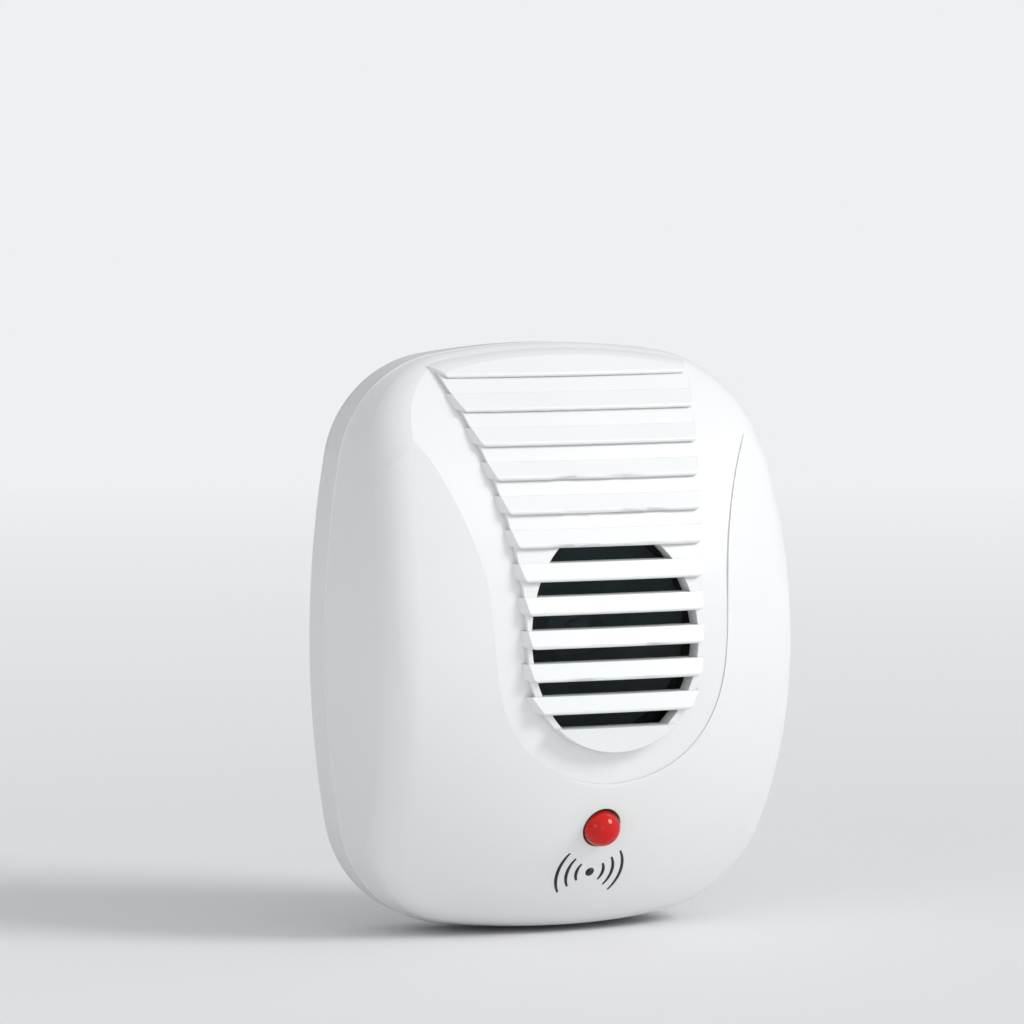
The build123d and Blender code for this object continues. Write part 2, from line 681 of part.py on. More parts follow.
def oscillator_chip():
    x, z = CHIP_SPOT
    plane = Plane(origin=(x, BOARD_FRONT - 0.6, z), x_dir=(1, 0, 0), z_dir=(0, -1, 0))
    body = extrude(plane * Rectangle(5.9, 9.6), 1.6)
    body += extrude(Plane(origin=(x, BOARD_FRONT - 2.2, z), x_dir=(1, 0, 0), z_dir=(0, -1, 0)) * Rectangle(6.3, 9.8),
                    1.7, taper=7)
    body -= rod(x, z + 4.9, -20, BOARD_FRONT - 3.2, 0.8)
    for side in (-1, 1):
        for k in range(4):
            pz = z + 2.54 * (k - 1.5)
            px = x + side * 3.81
            body += slab(min(x + side * 2.5, px), max(x + side * 2.5, px), BOARD_FRONT - 2.4, BOARD_FRONT - 2.1,
                         pz - 0.7, pz + 0.7)
            body += slab(px - 0.15, px + 0.15, BOARD_FRONT - 2.4, BOARD_FRONT - 0.6, pz - 0.7, pz + 0.7)
            body += slab(px - 0.15, px + 0.15, BOARD_FRONT - 0.8, LEAD_END, pz - 0.22, pz + 0.22)
    return body


def film_capacitor():
    x, z = FILM_CAP_SPOT
    plane = Plane(origin=(x, BOARD_FRONT - 0.3, z), x_dir=(1, 0, 0), z_dir=(0, -1, 0))
    block = extrude(plane * Rectangle(13, 5.4), 9.5)
    block = fillet(block.edges().group_by(Axis.Y)[0], 0.5)
    for px, pz in lead_spots(x, z, 0, 10.0):
        block += pin(px, pz, 0.5)
    return block


def filter_capacitor():
    """Electrolytic can with the rolled groove near its base and a scored top."""
    x, z = CAN_SPOT
    base = BOARD_FRONT - 0.2
    can = turned([
        (0, base), (3.8, base), (4.0, base - 0.3), (4.0, base - 1.3), (3.6, base - 1.7), (4.0, base - 2.1),
        (4.0, base - 11.2), (3.7, base - 11.5), (3.2, base - 11.5), (3.2, base - 11.3), (0, base - 11.3),
    ], x, z)
    for angle in (0, 60, 120):
        groove = Rotation(0, angle, 0) * Box(5.0, 0.3, 0.2)
        can -= Location((x, base - 11.3, z)) * groove
    for px, pz in lead_spots(x, z, 0, 3.5):
        can += pin(px, pz, 0.5)
    return can


def coil_core():
    x, z = COIL_SPOT
    base = BOARD_FRONT - 0.3
    core = turned([
        (0, base), (4.0, base), (4.0, base - 1.2), (2.0, base - 1.2), (2.0, base - 5.4),
        (4.0, base - 5.4), (4.0, base - 6.6), (0, base - 6.6),
    ], x, z)
    for px, pz in lead_spots(x, z, 90, 5.0):
        core += pin(px, pz, 0.6)
    return core


def coil_winding():
    """Enamelled wire wound between the core's flanges, as one ribbed sleeve."""
    x, z = COIL_SPOT
    base = BOARD_FRONT - 0.3
    turns = 9
    step = 4.1 / turns
    outline = [(2.02, base - 1.25)]
    for k in range(turns):
        y = base - 1.25 - k * step
        outline += [(3.45, y - 0.05), (3.62, y - step / 2), (3.45, y - step + 0.05)]
    outline.append((2.02, base - 1.25 - turns * step))
    return turned(outline, x, z)


def indicator_led():
    """Red 5 mm lamp: flanged lens with a domed tip."""
    seat = -25.2
    tip = seat - 7.5
    lens = rod(0, LED_Z, tip + LED_R, seat, LED_R) + rod(0, LED_Z, seat, seat + 1.0, LED_R + 0.4)
    lens += Location((0, tip + LED_R, LED_Z)) * Sphere(LED_R)
    for px, pz in lead_spots(0, LED_Z, 0, 2.54):
        lens -= rod(px, pz, seat - 2.0, seat + 2.0, LEAD_R)
    return lens


def led_leads():
    leads = [rod(px, pz, -26.4, LEAD_END, LEAD_R - 0.01) for px, pz in lead_spots(0, LED_Z, 0, 2.54)]
    return Compound(children=leads)


def led_spacer():
    """Tube that holds the lamp at its height above the board."""
    tube = rod(0, LED_Z, -24.15, BOARD_FRONT - 0.02, 2.6)
    for px, pz in lead_spots(0, LED_Z, 0, 2.54):
        tube -= rod(px, pz, -26, 0, LEAD_R + 0.1)
    return tube


# ---------------------------------------------------------------- tweeter
def foam_gasket():
    return rod(0, TWEETER_Z, -27.28, -26.52, 19.0) - rod(0, TWEETER_Z, -28, -26, 17.0)


def tweeter_frame():
    """Flanged basket with two ears; its front ring holds the diaphragm surround."""
    basket = turned([
        (16.6, -26.5), (19.6, -26.5), (19.6, -24.4), (17.6, -24.4), (14.2, -19.0), (9.0, -18.2),
        (9.0, -19.2), (13.6, -20.0), (16.6, -24.8),
    ], 0, TWEETER_Z)
    for x, z in TWEETER_SPOTS:
        side = 1 if x > 0 else -1
        ear = rod(x, z, -26.4, -24.45, 2.5) + slab(min(x, side * 18), max(x, side * 18), -26.4, -24.45,
                                                    z - 2.5, z + 2.5)
        basket += ear - rod(0, TWEETER_Z, -30, -20, 18.0)
    for x, z in TWEETER_SPOTS:
        basket -= rod(x, z, -28, -20, 0.95)
    return basket


def surround():
    """Soft rolled ring glued to the frame; the diaphragm's edge floats inside it."""
    return turned([
        (14.55, -25.1), (14.55, -25.5), (15.2, -26.1), (15.9, -26.1), (16.55, -25.5), (16.55, -24.9),
        (16.2, -24.9), (15.6, -25.6), (15.2, -25.6), (14.9, -25.1),
    ], 0, TWEETER_Z)


def diaphragm():
    """Thin cone with a round dust dome at its centre."""
    cone = turned([
        (0, -19.9), (3.2, -19.9), (4.2, -20.6), (14.5, -25.1), (14.5, -25.5), (4.2, -21.1), (2.3, -21.3), (0, -21.3),
    ], 0, TWEETER_Z)
    dome_ball = Location((0, -21.0, TWEETER_Z)) * Sphere(1.7)
    return cone + (dome_ball & slab(-5, 5, -30, -20.5, TWEETER_Z - 5, TWEETER_Z + 5))


def piezo_disc():
    return rod(0, TWEETER_Z, -19.88, -19.6, 7.0)


def piezo_ceramic():
    return rod(0, TWEETER_Z, -19.58, -19.35, 5.0)


def tweeter_cap():
    """Rear lid of the basket."""
    lid = turned([
        (0, -17.2), (10.6, -17.2), (11.0, -17.5), (11.0, -18.3), (8.9, -18.18), (8.9, -18.0), (0, -18.0),
    ], 0, TWEETER_Z)
    for x in (-5.0, 5.0):
        lid -= slab(x - 1.3, x + 1.3, -19, -16, TWEETER_Z + 3.75, TWEETER_Z + 4.35)
    return lid


def tweeter_tabs():
    tabs = []
    for x in (-5.0, 5.0):
        tab = slab(x - 1.2, x + 1.2, -18.6, -15.2, TWEETER_Z + 3.8, TWEETER_Z + 4.3)
        tabs.append(tab + slab(x - 1.6, x + 1.6, -18.6, -18.3, TWEETER_Z + 3.8, TWEETER_Z + 5.0))
    return Compound(children=tabs)


def tweeter_wire(side):
    """Wire from a tweeter tab to its pad near the board's top edge."""
    tab_x = side * 5.0
    tab_z = TWEETER_Z + 4.05
    pad_x = side * 1.6 - 0.6
    pad_z = -16.4
    return wire([(tab_x, -15.22, tab_z), (tab_x, -13.4, tab_z), (pad_x, -13.4, pad_z),
                 (pad_x, BOARD_FRONT - 0.02, pad_z)], 0.45, 1.0)


PARTS = {
    "front_cover": front_cover,
    "rear_cover": rear_cover,
    "rear_label": rear_label,
    "cover_screws": cover_screws,
    "blade_left": lambda: blade(-1),
    "blade_right": lambda: blade(1),
    "blade_carrier": blade_carrier,
    "carrier_screws": carrier_screws,
    "shrink_sleeves": sleeves,
    "line_wire": lambda: mains_wire(-1),
    "neutral_wire": lambda: mains_wire(1),
    "circuit_board": circuit_board,
    "board_screws": board_screws,
    "solder_joints": solder_joints,
    "fusible_resistor": fusible_resistor,
    "bleed_resistor": bleed_resistor,
    "dropper_capacitor": film_capacitor,
    "rectifier_diodes": rectifier_diodes,
    "zener_diode": zener_diode,
    "filter_capacitor": filter_capacitor,
    "oscillator_chip": oscillator_chip,
    "driver_transistors": driver_transistors,
    "carbon_resistors": carbon_resistors,
    "ceramic_capacitors": ceramic_capacitors,
    "coil_core": coil_core,
    "coil_winding": coil_winding,
    "indicator_led": indicator_led,
    "led_leads": led_leads,
    "led_spacer": led_spacer,
    "foam_gasket": foam_gasket,
    "tweeter_frame": tweeter_frame,
    "tweeter_surround": surround,
    "tweeter_diaphragm": diaphragm,
    "piezo_disc": piezo_disc,
    "piezo_ceramic": piezo_ceramic,
    "tweeter_cap": tweeter_cap,
    "tweeter_tabs": tweeter_tabs,
    "tweeter_wire_red": lambda: tweeter_wire(-1),
    "tweeter_wire_black": lambda: tweeter_wire(1),
    "tweeter_screws": tweeter_screws,
}

os.makedirs("parts", exist_ok=True)
for name, make in PARTS.items():
    export_step(make(), "parts/" + name + ".step")
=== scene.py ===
import json
import math

import bmesh
import bpy
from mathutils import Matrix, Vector


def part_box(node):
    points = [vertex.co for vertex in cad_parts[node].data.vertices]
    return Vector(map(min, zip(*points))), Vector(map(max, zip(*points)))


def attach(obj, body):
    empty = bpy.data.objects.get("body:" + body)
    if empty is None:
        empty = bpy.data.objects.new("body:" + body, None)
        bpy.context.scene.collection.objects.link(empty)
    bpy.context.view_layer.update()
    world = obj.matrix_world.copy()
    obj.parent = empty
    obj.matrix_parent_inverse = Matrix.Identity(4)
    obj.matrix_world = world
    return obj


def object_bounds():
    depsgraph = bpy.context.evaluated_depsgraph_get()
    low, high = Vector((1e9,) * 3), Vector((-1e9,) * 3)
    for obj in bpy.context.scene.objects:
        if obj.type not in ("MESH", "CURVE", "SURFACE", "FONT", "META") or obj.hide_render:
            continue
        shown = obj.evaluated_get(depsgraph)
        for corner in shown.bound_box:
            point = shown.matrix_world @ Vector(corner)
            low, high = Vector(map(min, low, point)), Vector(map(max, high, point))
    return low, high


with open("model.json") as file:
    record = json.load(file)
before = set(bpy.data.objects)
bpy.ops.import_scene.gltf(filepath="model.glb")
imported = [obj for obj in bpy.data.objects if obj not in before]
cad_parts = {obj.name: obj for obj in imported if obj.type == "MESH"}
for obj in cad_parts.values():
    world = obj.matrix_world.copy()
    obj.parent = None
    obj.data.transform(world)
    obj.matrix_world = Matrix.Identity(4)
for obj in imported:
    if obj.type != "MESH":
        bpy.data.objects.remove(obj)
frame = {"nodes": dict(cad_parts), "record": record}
CAD_BOX = [list(corner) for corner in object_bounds()]

MM = 0.001

# Case reference depths and heights, read from the frame.
FRONT_LOW, FRONT_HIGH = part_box("front_cover")
LED_LOW, LED_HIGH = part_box("indicator_led")
SEAM_Y = FRONT_HIGH[1]
CASE_MID_Z = (FRONT_LOW[2] + FRONT_HIGH[2]) / 2
LED_MID_Z = (LED_LOW[2] + LED_HIGH[2]) / 2

# The diaphragm's dust dome: its ball reaches this far, from a middle this far in front of the cone's back.
DOME_REACH = 1.75 * MM
DOME_DEPTH = 1.1 * MM
DOME_TONE = (0.13, 0.17, 0.18, 1.0)

# The lamp's own red in the middle, and the darker red painted at its rim as painted shade.
LENS_RED = (0.55, 0.007, 0.005, 1.0)
LENS_RIM_SHADE = (0.07, 0.001, 0.001, 1.0)

# The printed mark below the lamp.
MARK_DROP = 6.6 * MM
MARK_RADII = (2.0 * MM, 3.4 * MM, 4.8 * MM)
MARK_SPREAD = math.radians(38)
MARK_HALF_LINE = 0.24 * MM
MARK_STEPS = 20
MARK_DOT_R = 0.62 * MM
MARK_DOT_STEPS = 24
INK_LIFT = 0.02 * MM
INK_THICKNESS = 0.015 * MM
RAY_START_Y = -100 * MM

# Camera: 24 degrees to the left of the case's front, slightly above it.
VIEW_AZIMUTH = math.radians(-24.0)
VIEW_ELEVATION = math.radians(5.3)
VIEW_DISTANCE = 0.890
VIEW_LENS = 223.6
VIEW_SENSOR = 36.0
AIM_RIGHT = -0.00462
AIM_UP = 0.01715

# Room light: the direction it mostly comes from, its strength there and opposite, and its tints.
ROOM_BRIGHT_SIDE = (0.35, -0.80, 0.45)
ROOM_BRIGHT = 0.85
ROOM_DIM = 0.22
HORIZON = (0.86, 0.87, 0.885, 1.0)
ROOM_TINT = (0.965, 0.98, 1.0, 1.0)

# Lamps of the set: the key's direction, width in degrees and strength, then each soft light's place,
# size and power in watts.
KEY_FROM = (0.62, -0.62, 0.58)
KEY_SOFTNESS = 22.0
KEY_STRENGTH = 1.50
KEY_TINT = (1.0, 0.995, 0.985)
LEFT_STRIP_AT = (-0.55, -0.30, 0.10)
LEFT_STRIP_SIZE = 0.25
LEFT_STRIP_POWER = 0.24
LOW_FILL_AT = (-0.15, -0.60, -0.03)
LOW_FILL_SIZE = 0.30
LOW_FILL_POWER = 0.14

# The floor's half width, and the distances over which it fades into the horizon.
FLOOR_HALF = 60.0
FLOOR_TONE = (0.80, 0.80, 0.81)
FADE_FROM = 0.15
FADE_TO = 0.90


# ---------------------------------------------------------------- node graph helpers
class Graph:
    """Small wrapper for building a material's nodes."""

    def __init__(self, name):
        self.material = bpy.data.materials.new(name)
        self.material.use_nodes = True
        self.tree = self.material.node_tree
        self.shader = self.tree.nodes["Principled BSDF"]
        self.coords = self.tree.nodes.new("ShaderNodeTexCoord").outputs["Object"]

    def add(self, kind, **settings):
        node = self.tree.nodes.new(kind)
        for key, value in settings.items():
            setattr(node, key, value)
        return node

    def link(self, source, target):
        self.tree.links.new(source, target)

    def noise(self, size, detail=3.0, roughness=0.55):
        """Noise whose main features are about size metres across."""
        node = self.add("ShaderNodeTexNoise")
        node.inputs["Scale"].default_value = 1.0 / size
        node.inputs["Detail"].default_value = detail
        node.inputs["Roughness"].default_value = roughness
        self.link(self.coords, node.inputs["Vector"])
        return node.outputs["Fac"]

    def ramp(self, fac, low, high, out_low=0.0, out_high=1.0):
        node = self.add("ShaderNodeMapRange")
        node.inputs["From Min"].default_value = low
        node.inputs["From Max"].default_value = high
        node.inputs["To Min"].default_value = out_low
        node.inputs["To Max"].default_value = out_high
        self.link(fac, node.inputs["Value"])
        return node.outputs["Result"]

    def maths(self, operation, a, b):
        node = self.add("ShaderNodeMath", operation=operation)
        for socket, value in zip(node.inputs, (a, b)):
            if isinstance(value, (int, float)):
                socket.default_value = value
            else:
                self.link(value, socket)
        return node.outputs["Value"]

    def mix(self, fac, a, b):
        """Colour mix; a and b are colours or sockets."""
        node = self.add("ShaderNodeMix", data_type="RGBA")
        self.link(fac, node.inputs["Factor"])
        for socket, value in ((node.inputs[6], a), (node.inputs[7], b)):
            if isinstance(value, tuple):
                socket.default_value = value
            else:
                self.link(value, socket)
        return node.outputs[2]

    def set(self, name, value):
        socket = self.shader.inputs[name]
        if isinstance(value, (int, float, tuple)):
            socket.default_value = value
        else:
            self.link(value, socket)


def tone(color, factor):
    return tuple(min(c * factor, 1.0) for c in color) + (1.0,)


def edge_mask(graph, radius, gain):
    """About 1 on worn outer edges, 0 on open faces."""
    bevel = graph.add("ShaderNodeBevel", samples=4)
    bevel.inputs["Radius"].default_value = radius
    geometry = graph.add("ShaderNodeNewGeometry")
    dot = graph.add("ShaderNodeVectorMath", operation="DOT_PRODUCT")
    graph.link(bevel.outputs["Normal"], dot.inputs[0])
    graph.link(geometry.outputs["Normal"], dot.inputs[1])
    return graph.ramp(dot.outputs["Value"], 1.0, 1.0 - gain, 0.0, 1.0), bevel.outputs["Normal"]


def surface(name, color, rough, metal=0.0, grain=0.35 * MM, bump=0.15, vary=0.05, wear=0.25,
            wear_tone=1.25, painted_shade=0.12, coat=0.0, sss=0.0, rim=0.15 * MM, brushed=False):
    """Procedural finish: broad colour drift, fine grain bump, worn edges and painted shade in the corners."""
    g = Graph(name)
    drift = g.noise(14 * MM, 4.0)
    base = g.mix(g.ramp(drift, 0.35, 0.65), tone(color, 1.0 - vary), tone(color, 1.0 + vary))
    fleck = g.noise(0.8 * MM, 2.0)
    base = g.mix(g.ramp(fleck, 0.62, 0.80, 0.0, 0.25), base, tone(color, 1.0 - 2.0 * vary))
    edges, soft_normal = edge_mask(g, rim, 0.25)
    broken = g.ramp(g.noise(1.6 * MM, 4.0), 0.40, 0.62)
    worn = g.maths("MULTIPLY", g.maths("MULTIPLY", edges, broken), wear)
    base = g.mix(worn, base, tone(color, wear_tone))
    # Painted shade: where the AO node finds nearby surfaces (corners, grooves, under ledges), the colour is
    # darkened towards grey.
    if painted_shade > 0:
        occlusion = g.add("ShaderNodeAmbientOcclusion", samples=4)
        occlusion.inputs["Distance"].default_value = 1.2 * MM
        painted_shade_mask = g.ramp(occlusion.outputs["AO"], 0.75, 0.15, 0.0, painted_shade)
        base = g.mix(painted_shade_mask, base, tone((0.42, 0.41, 0.39), 0.5 + 0.5 * color[0]))
    g.set("Base Color", base)
    smear = g.noise(6 * MM, 5.0, 0.65)
    polish = g.ramp(smear, 0.3, 0.7, max(rough - 0.06, 0.05), rough + 0.07)
    g.set("Roughness", polish)
    g.set("Metallic", metal)
    height = g.noise(grain, 2.0)
    if brushed:
        stretch = g.add("ShaderNodeMapping")
        stretch.inputs["Scale"].default_value = (1.0, 30.0, 30.0)
        g.link(g.coords, stretch.inputs["Vector"])
        streaks = g.add("ShaderNodeTexNoise")
        streaks.inputs["Scale"].default_value = 1.0 / (3 * MM)
        g.link(stretch.outputs["Vector"], streaks.inputs["Vector"])
        height = g.maths("ADD", height, streaks.outputs["Fac"])
    relief = g.add("ShaderNodeBump")
    relief.inputs["Strength"].default_value = bump
    relief.inputs["Distance"].default_value = 0.02 * MM
    g.link(height, relief.inputs["Height"])
    g.link(soft_normal, relief.inputs["Normal"])
    g.set("Normal", relief.outputs["Normal"])
    if coat > 0:
        g.set("Coat Weight", coat)
        g.set("Coat Roughness", 0.12)
    if sss > 0:
        g.set("Subsurface Weight", sss)
        g.set("Subsurface Radius", (1.0, 0.9, 0.8))
        g.set("Subsurface Scale", 0.6 * MM)
    return g


def led_red():
    """Clear red lens: its own red where it faces the viewer, painted shade darkening it towards its rim,
    glowing very faintly.
    """
    g = surface("led_red", (0.66, 0.016, 0.008), 0.10, grain=2 * MM, bump=0.02, vary=0.06, wear=0.0, painted_shade=0.0,
                sss=0.10)
    # Painted shade: the lens colour turns to the darker rim red where its surface turns away from the viewer.
    rim = g.add("ShaderNodeLayerWeight")
    rim.inputs["Blend"].default_value = 0.35
    g.set("Base Color", g.mix(g.ramp(rim.outputs["Facing"], 0.30, 0.75), LENS_RED, LENS_RIM_SHADE))
    g.set("IOR", 1.5)
    g.set("Specular IOR Level", 0.32)
    g.set("Emission Color", (1.0, 0.03, 0.015, 1.0))
    g.set("Emission Strength", 0.02)
    return g


def cone_paper():
    """Dark pressed paper with a slightly lighter dome in the middle."""
    g = surface("cone_paper", (0.055, 0.085, 0.095), 0.50, vary=0.25, grain=0.6 * MM, bump=0.6, painted_shade=0.0)
    low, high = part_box("tweeter_diaphragm")
    node = frame["nodes"]["tweeter_diaphragm"]
    centre = Vector(((low[0] + high[0]) / 2, high[1] - DOME_DEPTH, (low[2] + high[2]) / 2))
    middle = node.matrix_world.inverted() @ centre
    across = g.add("ShaderNodeVectorMath", operation="DISTANCE")
    g.link(g.coords, across.inputs[0])
    across.inputs[1].default_value = middle
    shade = g.ramp(across.outputs["Value"], DOME_REACH, DOME_REACH * 1.06)
    plain = g.shader.inputs["Base Color"].links[0].from_socket
    g.set("Base Color", g.mix(shade, DOME_TONE, plain))
    return g


def wall_white():
    """Semi-gloss white case plastic with painted shade in its grooves."""
    return surface("white_case", (0.80, 0.815, 0.81), 0.36, grain=0.5 * MM, bump=0.05, vary=0.006, wear=0.35,
                   wear_tone=1.08, painted_shade=0.45, sss=0.05, rim=0.08 * MM)


PLAIN_FINISHES = {
    "label_film": dict(color=(0.62, 0.63, 0.64), rough=0.30, vary=0.03, bump=0.05, coat=0.3),
    "zinc_screw": dict(color=(0.60, 0.61, 0.63), rough=0.32, metal=1.0, vary=0.10, bump=0.25),
    "plated_brass": dict(color=(0.72, 0.70, 0.64), rough=0.22, metal=1.0, vary=0.06, bump=0.22,
                         wear=0.5, wear_tone=0.85, brushed=True),
    "black_moulding": dict(color=(0.022, 0.024, 0.026), rough=0.48, vary=0.15, wear_tone=2.2),
    "sleeve_black": dict(color=(0.018, 0.018, 0.02), rough=0.40, vary=0.2, grain=0.9 * MM),
    "wire_white": dict(color=(0.72, 0.72, 0.70), rough=0.38, vary=0.04),
    "wire_black": dict(color=(0.02, 0.02, 0.022), rough=0.36, vary=0.15),
    "wire_red": dict(color=(0.48, 0.015, 0.012), rough=0.36, vary=0.08),
    "board_laminate": dict(color=(0.42, 0.27, 0.10), rough=0.45, vary=0.10, grain=0.6 * MM, bump=0.4),
    "solder": dict(color=(0.68, 0.68, 0.70), rough=0.20, metal=1.0, vary=0.08),
    "resistor_tan": dict(color=(0.58, 0.40, 0.20), rough=0.38, vary=0.08, coat=0.2),
    "resistor_blue": dict(color=(0.08, 0.22, 0.42), rough=0.38, vary=0.08, coat=0.2),
    "fuse_green": dict(color=(0.10, 0.20, 0.11), rough=0.55, vary=0.12, bump=0.5),
    "film_yellow": dict(color=(0.72, 0.40, 0.03), rough=0.28, vary=0.05, coat=0.2),
    "diode_black": dict(color=(0.02, 0.02, 0.02), rough=0.42, vary=0.2),
    "zener_orange": dict(color=(0.60, 0.14, 0.03), rough=0.12, vary=0.1, coat=0.5),
    "can_sleeve": dict(color=(0.02, 0.028, 0.07), rough=0.26, vary=0.1, coat=0.3),
    "chip_black": dict(color=(0.02, 0.02, 0.022), rough=0.55, vary=0.2, bump=0.5),
    "disc_ochre": dict(color=(0.50, 0.20, 0.04), rough=0.30, vary=0.08, coat=0.3, grain=1.0 * MM, bump=0.4),
    "ferrite": dict(color=(0.06, 0.06, 0.065), rough=0.55, vary=0.2, bump=0.6),
    "copper_enamel": dict(color=(0.62, 0.20, 0.06), rough=0.25, metal=0.9, vary=0.1),
    "tinned_lead": dict(color=(0.70, 0.70, 0.71), rough=0.25, metal=1.0, vary=0.08),
    "spacer_black": dict(color=(0.022, 0.022, 0.023), rough=0.5, vary=0.15),
    "foam": dict(color=(0.035, 0.036, 0.038), rough=0.85, vary=0.25, grain=0.25 * MM, bump=1.0),
    "brass_disc": dict(color=(0.72, 0.50, 0.18), rough=0.28, metal=1.0, vary=0.08, brushed=True),
    "ceramic": dict(color=(0.62, 0.60, 0.54), rough=0.40, vary=0.05),
}

SPECIAL_FINISHES = {
    "white_case": wall_white,
    "led_red": led_red,
    "cone_paper": cone_paper,
}


def finish(slot):
    """Material for a slot of the record."""
    if slot in SPECIAL_FINISHES:
        return SPECIAL_FINISHES[slot]().material
    return surface(slot, **PLAIN_FINISHES[slot]).material


def dress_frame():
    """Gives every CAD node the finish of its material slot."""
    made = {}
    for part in frame["record"]["subparts"]:
        slot = part["material_slot"]
        if slot not in made:
            made[slot] = finish(slot)
        node = frame["nodes"][part["node"]]
        node.data.materials.clear()
        node.data.materials.append(made[slot])
    return made


# ---------------------------------------------------------------- pieces
def mesh_piece(name, bm, material, body):
    mesh = bpy.data.meshes.new(name)
    bm.to_mesh(mesh)
    bm.free()
    for polygon in mesh.polygons:
        polygon.use_smooth = True
    piece = bpy.data.objects.new(name, mesh)
    bpy.context.scene.collection.objects.link(piece)
    mesh.materials.append(material)
    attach(piece, body)
    return piece


def skin_y(x, z):
    """Depth of the front cover's outer surface at x, z."""
    cover = frame["nodes"]["front_cover"]
    to_cover = cover.matrix_world.inverted()
    start = to_cover @ Vector((x, RAY_START_Y, z))
    hit, place, _, _ = cover.ray_cast(start, to_cover.to_3x3() @ Vector((0, 1, 0)))
    if not hit:
        raise SystemExit("the mark misses the case")
    return (cover.matrix_world @ place).y


def printed_strip(bm, outline, lift):
    """A band of ink lying on the case front. outline gives (inner, outer) point pairs in x, z."""
    last = None
    for inner, outer in outline:
        pair = [bm.verts.new((x, skin_y(x, z) - lift, z)) for x, z in (inner, outer)]
        if last:
            bm.faces.new((last[0], last[1], pair[1], pair[0]))
        last = pair


def around(radius, angle, mid_z, side=1):
    """Point x, z at an angle on a circle round the mark's middle."""
    return side * radius * math.cos(angle), mid_z + radius * math.sin(angle)


def arc_outline(radius, mid_z, side):
    """Inner and outer points of one arc, thinner towards its ends."""
    outline = []
    for k in range(MARK_STEPS + 1):
        angle = MARK_SPREAD * (2 * k / MARK_STEPS - 1)
        half = MARK_HALF_LINE * (0.55 + 0.45 * math.cos(angle / MARK_SPREAD * math.pi / 2))
        outline.append((around(radius - half, angle, mid_z, side), around(radius + half, angle, mid_z, side)))
    return outline


def sound_mark(material):
    """Generic printed mark: a dot between mirrored arcs, like sound spreading both ways."""
    bm = bmesh.new()
    mid_z = LED_MID_Z - MARK_DROP
    for side in (-1, 1):
        for radius in MARK_RADII:
            printed_strip(bm, arc_outline(radius, mid_z, side), INK_LIFT)
    turns = [2 * math.pi * k / MARK_DOT_STEPS for k in range(MARK_DOT_STEPS + 1)]
    printed_strip(bm, [((0.0, mid_z), around(MARK_DOT_R, angle, mid_z)) for angle in turns], INK_LIFT)
    bmesh.ops.remove_doubles(bm, verts=bm.verts, dist=0.001 * MM)
    bmesh.ops.recalc_face_normals(bm, faces=bm.faces)
    piece = mesh_piece("printed_sound_mark", bm, material, "housing")
    thick = piece.modifiers.new("ink", "SOLIDIFY")
    thick.thickness = INK_THICKNESS


# ---------------------------------------------------------------- set
def floor_material():
    """Pale matt floor that fades into the horizon's own grey, so no edge shows."""
    g = Graph("floor_pale")
    drift = g.ramp(g.noise(0.25, 3.0), 0.3, 0.7)
    g.set("Base Color", g.mix(drift, tone(FLOOR_TONE, 0.985), tone(FLOOR_TONE, 1.015)))
    g.set("Roughness", 0.8)
    g.set("Specular IOR Level", 0.2)
    length = g.add("ShaderNodeVectorMath", operation="LENGTH")
    g.link(g.coords, length.inputs[0])
    glow = g.add("ShaderNodeEmission")
    glow.inputs["Color"].default_value = HORIZON
    fade = g.add("ShaderNodeMixShader")
    g.link(g.ramp(length.outputs["Value"], FADE_FROM, FADE_TO), fade.inputs["Fac"])
    g.link(g.shader.outputs["BSDF"], fade.inputs[1])
    g.link(glow.outputs["Emission"], fade.inputs[2])
    g.link(fade.outputs["Shader"], g.tree.nodes["Material Output"].inputs["Surface"])
    return g.material


def floor():
    bm = bmesh.new()
    corners = ((-FLOOR_HALF, -FLOOR_HALF), (FLOOR_HALF, -FLOOR_HALF), (FLOOR_HALF, FLOOR_HALF),
               (-FLOOR_HALF, FLOOR_HALF))
    bm.faces.new([bm.verts.new((x, y, CAD_BOX[0][2])) for x, y in corners])
    mesh = bpy.data.meshes.new("floor")
    bm.to_mesh(mesh)
    bm.free()
    mesh.materials.append(floor_material())
    piece = bpy.data.objects.new("floor", mesh)
    bpy.context.scene.collection.objects.link(piece)


def area_light(name, place, target, size, power):
    data = bpy.data.lights.new(name, "AREA")
    data.shape = "DISK"
    data.size = size
    data.energy = power
    light = bpy.data.objects.new(name, data)
    light.location = place
    light.rotation_euler = (Vector(target) - Vector(place)).to_track_quat("-Z", "Y").to_euler()
    bpy.context.scene.collection.objects.link(light)


def sun_light(name, place, target, softness, strength, color):
    data = bpy.data.lights.new(name, "SUN")
    data.angle = math.radians(softness)
    data.energy = strength
    data.color = color
    light = bpy.data.objects.new(name, data)
    light.rotation_euler = (Vector(target) - Vector(place)).to_track_quat("-Z", "Y").to_euler()
    bpy.context.scene.collection.objects.link(light)


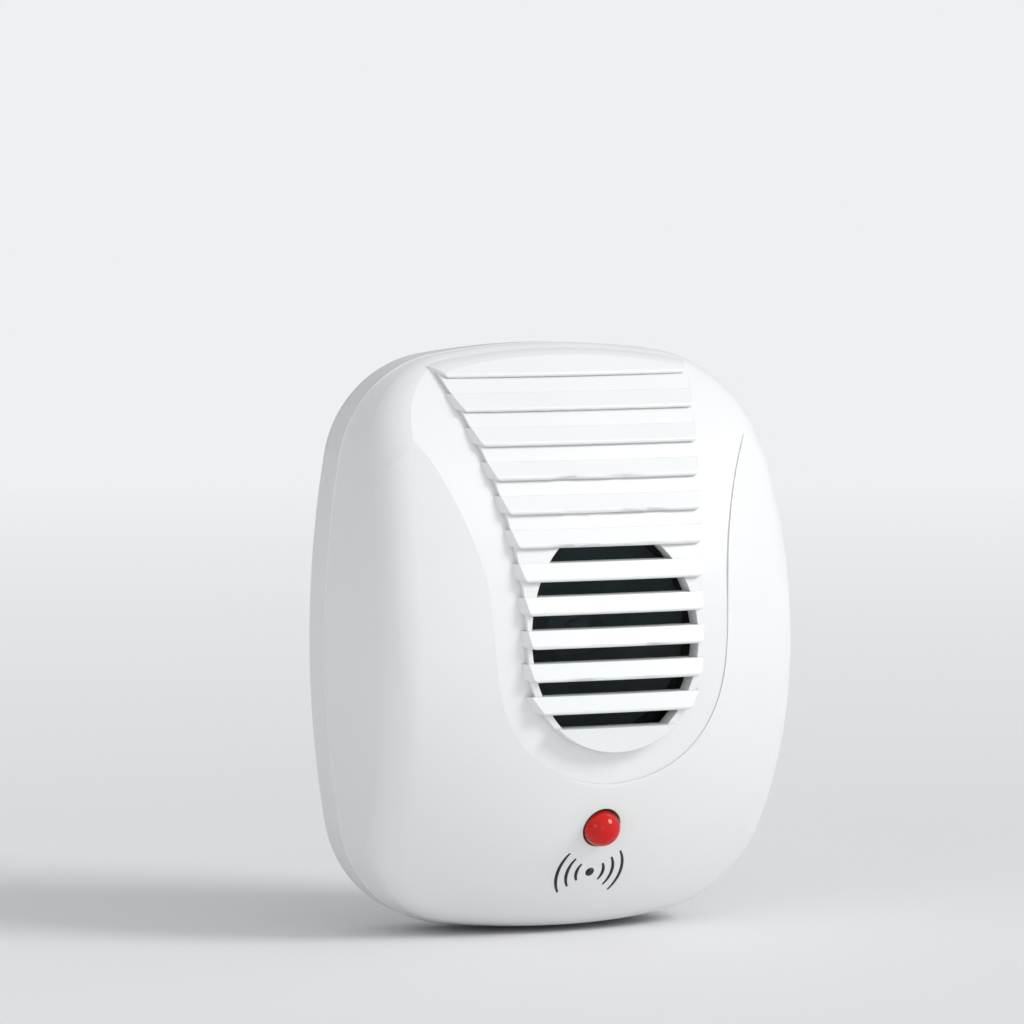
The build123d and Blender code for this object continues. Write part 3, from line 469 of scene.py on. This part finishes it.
def studio_world():
    """Soft room light: bright in front and above, dimmer behind. The camera sees an even pale grey."""
    world = bpy.data.worlds.new("studio")
    world.use_nodes = True
    tree = world.node_tree
    background = tree.nodes["Background"]
    coords = tree.nodes.new("ShaderNodeTexCoord")
    toward = tree.nodes.new("ShaderNodeVectorMath")
    toward.operation = "DOT_PRODUCT"
    toward.inputs[1].default_value = ROOM_BRIGHT_SIDE
    shade = tree.nodes.new("ShaderNodeMapRange")
    shade.inputs["From Min"].default_value = -0.9
    shade.inputs["From Max"].default_value = 0.9
    shade.inputs["To Min"].default_value = ROOM_DIM
    shade.inputs["To Max"].default_value = ROOM_BRIGHT
    rays = tree.nodes.new("ShaderNodeLightPath")
    pick = tree.nodes.new("ShaderNodeMix")
    pick.inputs["B"].default_value = 1.0
    tint = tree.nodes.new("ShaderNodeMix")
    tint.data_type = "RGBA"
    tint.inputs[6].default_value = ROOM_TINT
    tint.inputs[7].default_value = HORIZON
    tree.links.new(coords.outputs["Generated"], toward.inputs[0])
    tree.links.new(toward.outputs["Value"], shade.inputs["Value"])
    tree.links.new(rays.outputs["Is Camera Ray"], pick.inputs["Factor"])
    tree.links.new(shade.outputs["Result"], pick.inputs["A"])
    tree.links.new(pick.outputs["Result"], background.inputs["Strength"])
    tree.links.new(rays.outputs["Is Camera Ray"], tint.inputs["Factor"])
    tree.links.new(tint.outputs[2], background.inputs["Color"])
    bpy.context.scene.world = world


def lights():
    middle = (0, SEAM_Y, CASE_MID_Z)
    sun_light("key", KEY_FROM, middle, KEY_SOFTNESS, KEY_STRENGTH, KEY_TINT)
    area_light("left_strip", LEFT_STRIP_AT, middle, LEFT_STRIP_SIZE, LEFT_STRIP_POWER)
    area_light("low_fill", LOW_FILL_AT, middle, LOW_FILL_SIZE, LOW_FILL_POWER)
    studio_world()


def camera():
    """Long lens from the left front; the aim is shifted a little so the case sits as in the photo."""
    back = Vector((
        math.sin(VIEW_AZIMUTH) * math.cos(VIEW_ELEVATION),
        -math.cos(VIEW_AZIMUTH) * math.cos(VIEW_ELEVATION),
        math.sin(VIEW_ELEVATION),
    ))
    right = Vector((math.cos(VIEW_AZIMUTH), math.sin(VIEW_AZIMUTH), 0))
    up = back.cross(right)
    middle = Vector((0, SEAM_Y, CASE_MID_Z))
    eye = middle + back * VIEW_DISTANCE
    aim = middle + right * AIM_RIGHT + up * AIM_UP
    data = bpy.data.cameras.new("camera")
    data.lens = VIEW_LENS
    data.sensor_width = VIEW_SENSOR
    cam = bpy.data.objects.new("camera", data)
    cam.location = eye
    cam.rotation_euler = (aim - eye).to_track_quat("-Z", "Y").to_euler()
    bpy.context.scene.collection.objects.link(cam)
    bpy.context.scene.camera = cam


finishes = dress_frame()
sound_mark(finishes["black_moulding"])
floor()
lights()
camera()
bpy.context.scene.view_settings.view_transform = "Standard"

bpy.context.view_layer.update()
